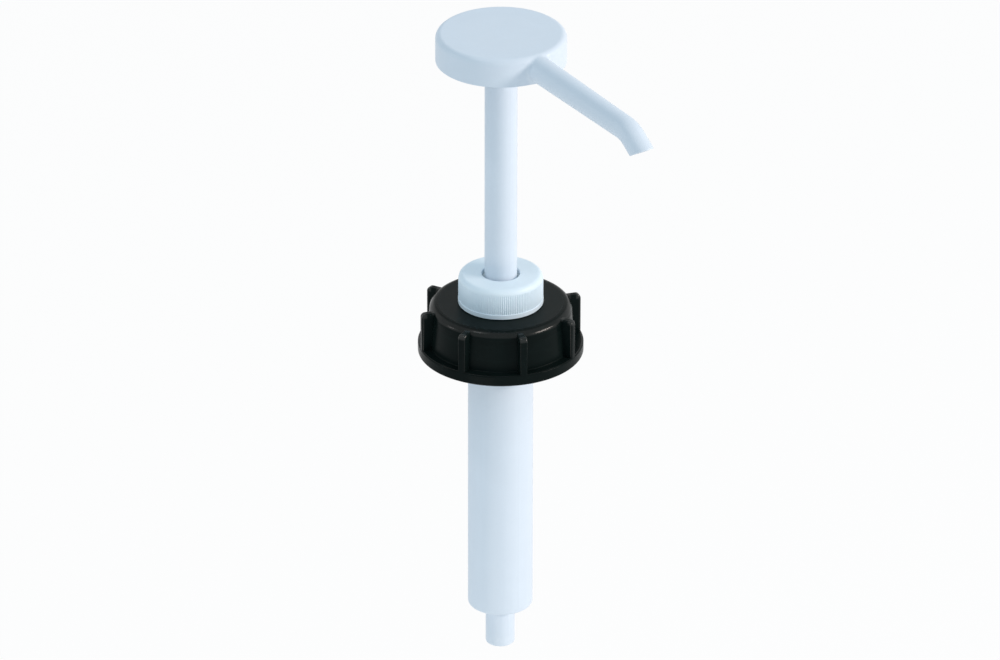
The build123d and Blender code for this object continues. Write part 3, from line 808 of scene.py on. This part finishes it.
@dataclass(frozen=True)
class Lamp:
    """A soft lamp that looks at the pump, placed by its angle from the camera."""

    name: str
    aside: float
    elevation: float
    distance: float
    width: float
    height: float
    power: float
    colour: Colour

    def light(self, target: Vector, view_azimuth: float) -> None:
        """Adds the lamp.

        Args:
            target: The point that it faces.
            view_azimuth: The camera's azimuth, in degrees.
        """
        data = bpy.data.lights.new(self.name, "AREA")
        data.shape = "RECTANGLE"
        data.size = self.width
        data.size_y = self.height
        data.energy = self.power
        data.color = self.colour
        lamp = bpy.data.objects.new(self.name, data)
        lamp.location = target + bearing(view_azimuth + self.aside, self.elevation) * self.distance
        lamp.rotation_euler = (target - lamp.location).to_track_quat("-Z", "Y").to_euler()
        lamp.visible_camera = False
        bpy.context.scene.collection.objects.link(lamp)
        LOG.info("lit with %s", self.name)


WINDOW_LAMP = Lamp(
    name="window_lamp",
    aside=74,
    elevation=24,
    distance=2.2,
    width=1.0,
    height=0.2,
    power=28.2,
    colour=(1.0, 0.90, 0.83),
)
SHOULDER_LAMP = Lamp(
    name="shoulder_lamp",
    aside=-63,
    elevation=65,
    distance=1.8,
    width=0.2,
    height=0.12,
    power=2.2,
    colour=(1.0, 1.0, 1.0),
)
SIDE_LAMP = Lamp(
    name="side_lamp",
    aside=-85,
    elevation=20,
    distance=2.0,
    width=0.16,
    height=0.4,
    power=2.2,
    colour=(1.0, 0.96, 0.92),
)
LOW_LAMP = Lamp(
    name="low_lamp",
    aside=-25,
    elevation=-40,
    distance=0.6,
    width=0.3,
    height=0.3,
    power=0.65,
    colour=(1.0, 0.92, 0.83),
)


class Ray(Enum):
    """Rays that see the surroundings, by the Light Path node's outputs."""

    CAMERA = "Is Camera Ray"
    GLOSSY = "Is Glossy Ray"
    TRANSMISSION = "Is Transmission Ray"


@dataclass
class Studio:
    """Pale floor, white surroundings, soft lamps and the camera."""

    view_azimuth: float = 54.5
    view_elevation: float = 27.0
    view_roll: float = 0.10
    view_distance: float = 4.5
    view_height: float = -10.27 * MM
    view_shift: float = -0.0007
    photo_scale: float = 0.458 * MM
    sensor: float = 36.0
    sight: float = 100.0
    floor_drop: float = 0.32
    floor_half: float = 14.0
    floor_colour: Colour = (0.90, 0.90, 0.90)
    floor_glow_share: float = 0.94
    ambient: Colour = (0.447, 0.56, 0.627)
    lamps: tuple[Lamp, ...] = (WINDOW_LAMP, SHOULDER_LAMP, SIDE_LAMP, LOW_LAMP)

    def seen(self, sheet: NodeSheet) -> Signal:
        """Mask of the rays that show the surroundings as they are.

        Args:
            sheet: The node tree that asks.

        Returns:
            1 for camera, glossy and transmission rays.
        """
        camera, glossy, through = [sheet.node("ShaderNodeLightPath", None, None, ray.value) for ray in Ray]
        return camera | glossy | through

    def world(self) -> None:
        """Soft light from all round, which is seen as white."""
        made = bpy.data.worlds.new("studio")
        made.use_nodes = True
        sheet = NodeSheet(made.node_tree)
        lit = sheet.node("ShaderNodeBackground", None, {"Color": (*self.ambient, 1), "Strength": 1.0})
        white = sheet.node("ShaderNodeBackground", None, {"Color": (1, 1, 1, 1), "Strength": 1.0})
        both = sheet.node("ShaderNodeMixShader", None, {0: self.seen(sheet), 1: lit, 2: white})
        sheet.node("ShaderNodeOutputWorld", None, {"Surface": both})
        bpy.context.scene.world = made

    def floor(self) -> None:
        """Pale floor under the pump, bright to the camera and still able to show a shadow."""
        low, _ = CAD_BOX
        half = self.floor_half
        data = bpy.data.meshes.new("floor")
        level = low.z - self.floor_drop
        corners = [(-half, -half, level), (half, -half, level), (half, half, level), (-half, half, level)]
        data.from_pydata(corners, [], [(0, 1, 2, 3)])
        made = bpy.data.objects.new("floor", data)
        bpy.context.scene.collection.objects.link(made)
        paint = bpy.data.materials.new("floor_paint")
        paint.use_nodes = True
        sheet = NodeSheet(paint.node_tree)
        matt = sheet.node("ShaderNodeBsdfDiffuse", None, {"Color": (*self.floor_colour, 1)})
        glow = sheet.node("ShaderNodeEmission", None, {"Color": (1, 1, 1, 1), "Strength": 1.0})
        share = self.seen(sheet) * self.floor_glow_share
        both = sheet.node("ShaderNodeMixShader", None, {0: share, 1: matt, 2: glow})
        sheet.node("ShaderNodeOutputMaterial", None, {"Surface": both})
        data.materials.append(paint)

    def camera(self) -> None:
        """Camera at the photograph's angle and scale."""
        data = bpy.data.cameras.new("camera")
        data.sensor_width = self.sensor
        data.lens = self.sensor * self.view_distance / (self.photo_scale * PHOTO_WIDTH)
        data.shift_x = self.view_shift
        data.clip_end = self.sight
        made = bpy.data.objects.new("camera", data)
        target = Vector((0, 0, self.view_height))
        made.location = target + bearing(self.view_azimuth, self.view_elevation) * self.view_distance
        aim = (target - made.location).to_track_quat("-Z", "Y")
        roll = Quaternion((0, 0, 1), math.radians(self.view_roll))
        made.rotation_euler = (aim @ roll).to_euler()
        bpy.context.scene.collection.objects.link(made)
        bpy.context.scene.camera = made

    def build(self) -> None:
        """Sets up the whole stage."""
        bpy.context.scene.view_settings.view_transform = "Standard"
        self.world()
        self.floor()
        self.camera()
        low, high = CAD_BOX
        middle = Vector((0, 0, (low.z + high.z) / 2))
        for lamp in self.lamps:
            lamp.light(middle, self.view_azimuth)


def main() -> None:
    """Dresses the pump, replaces the spring and sets the stage."""
    logging.basicConfig(level=logging.INFO, format="%(message)s")
    for group in (DispensingHead(), PlungerStem(), PistonSet(), PumpBarrel(), KnurledCollar(), CanisterCap()):
        group.dress()
    ReturnSpring().build()
    Studio().build()


if __name__ == "__main__":
    main()
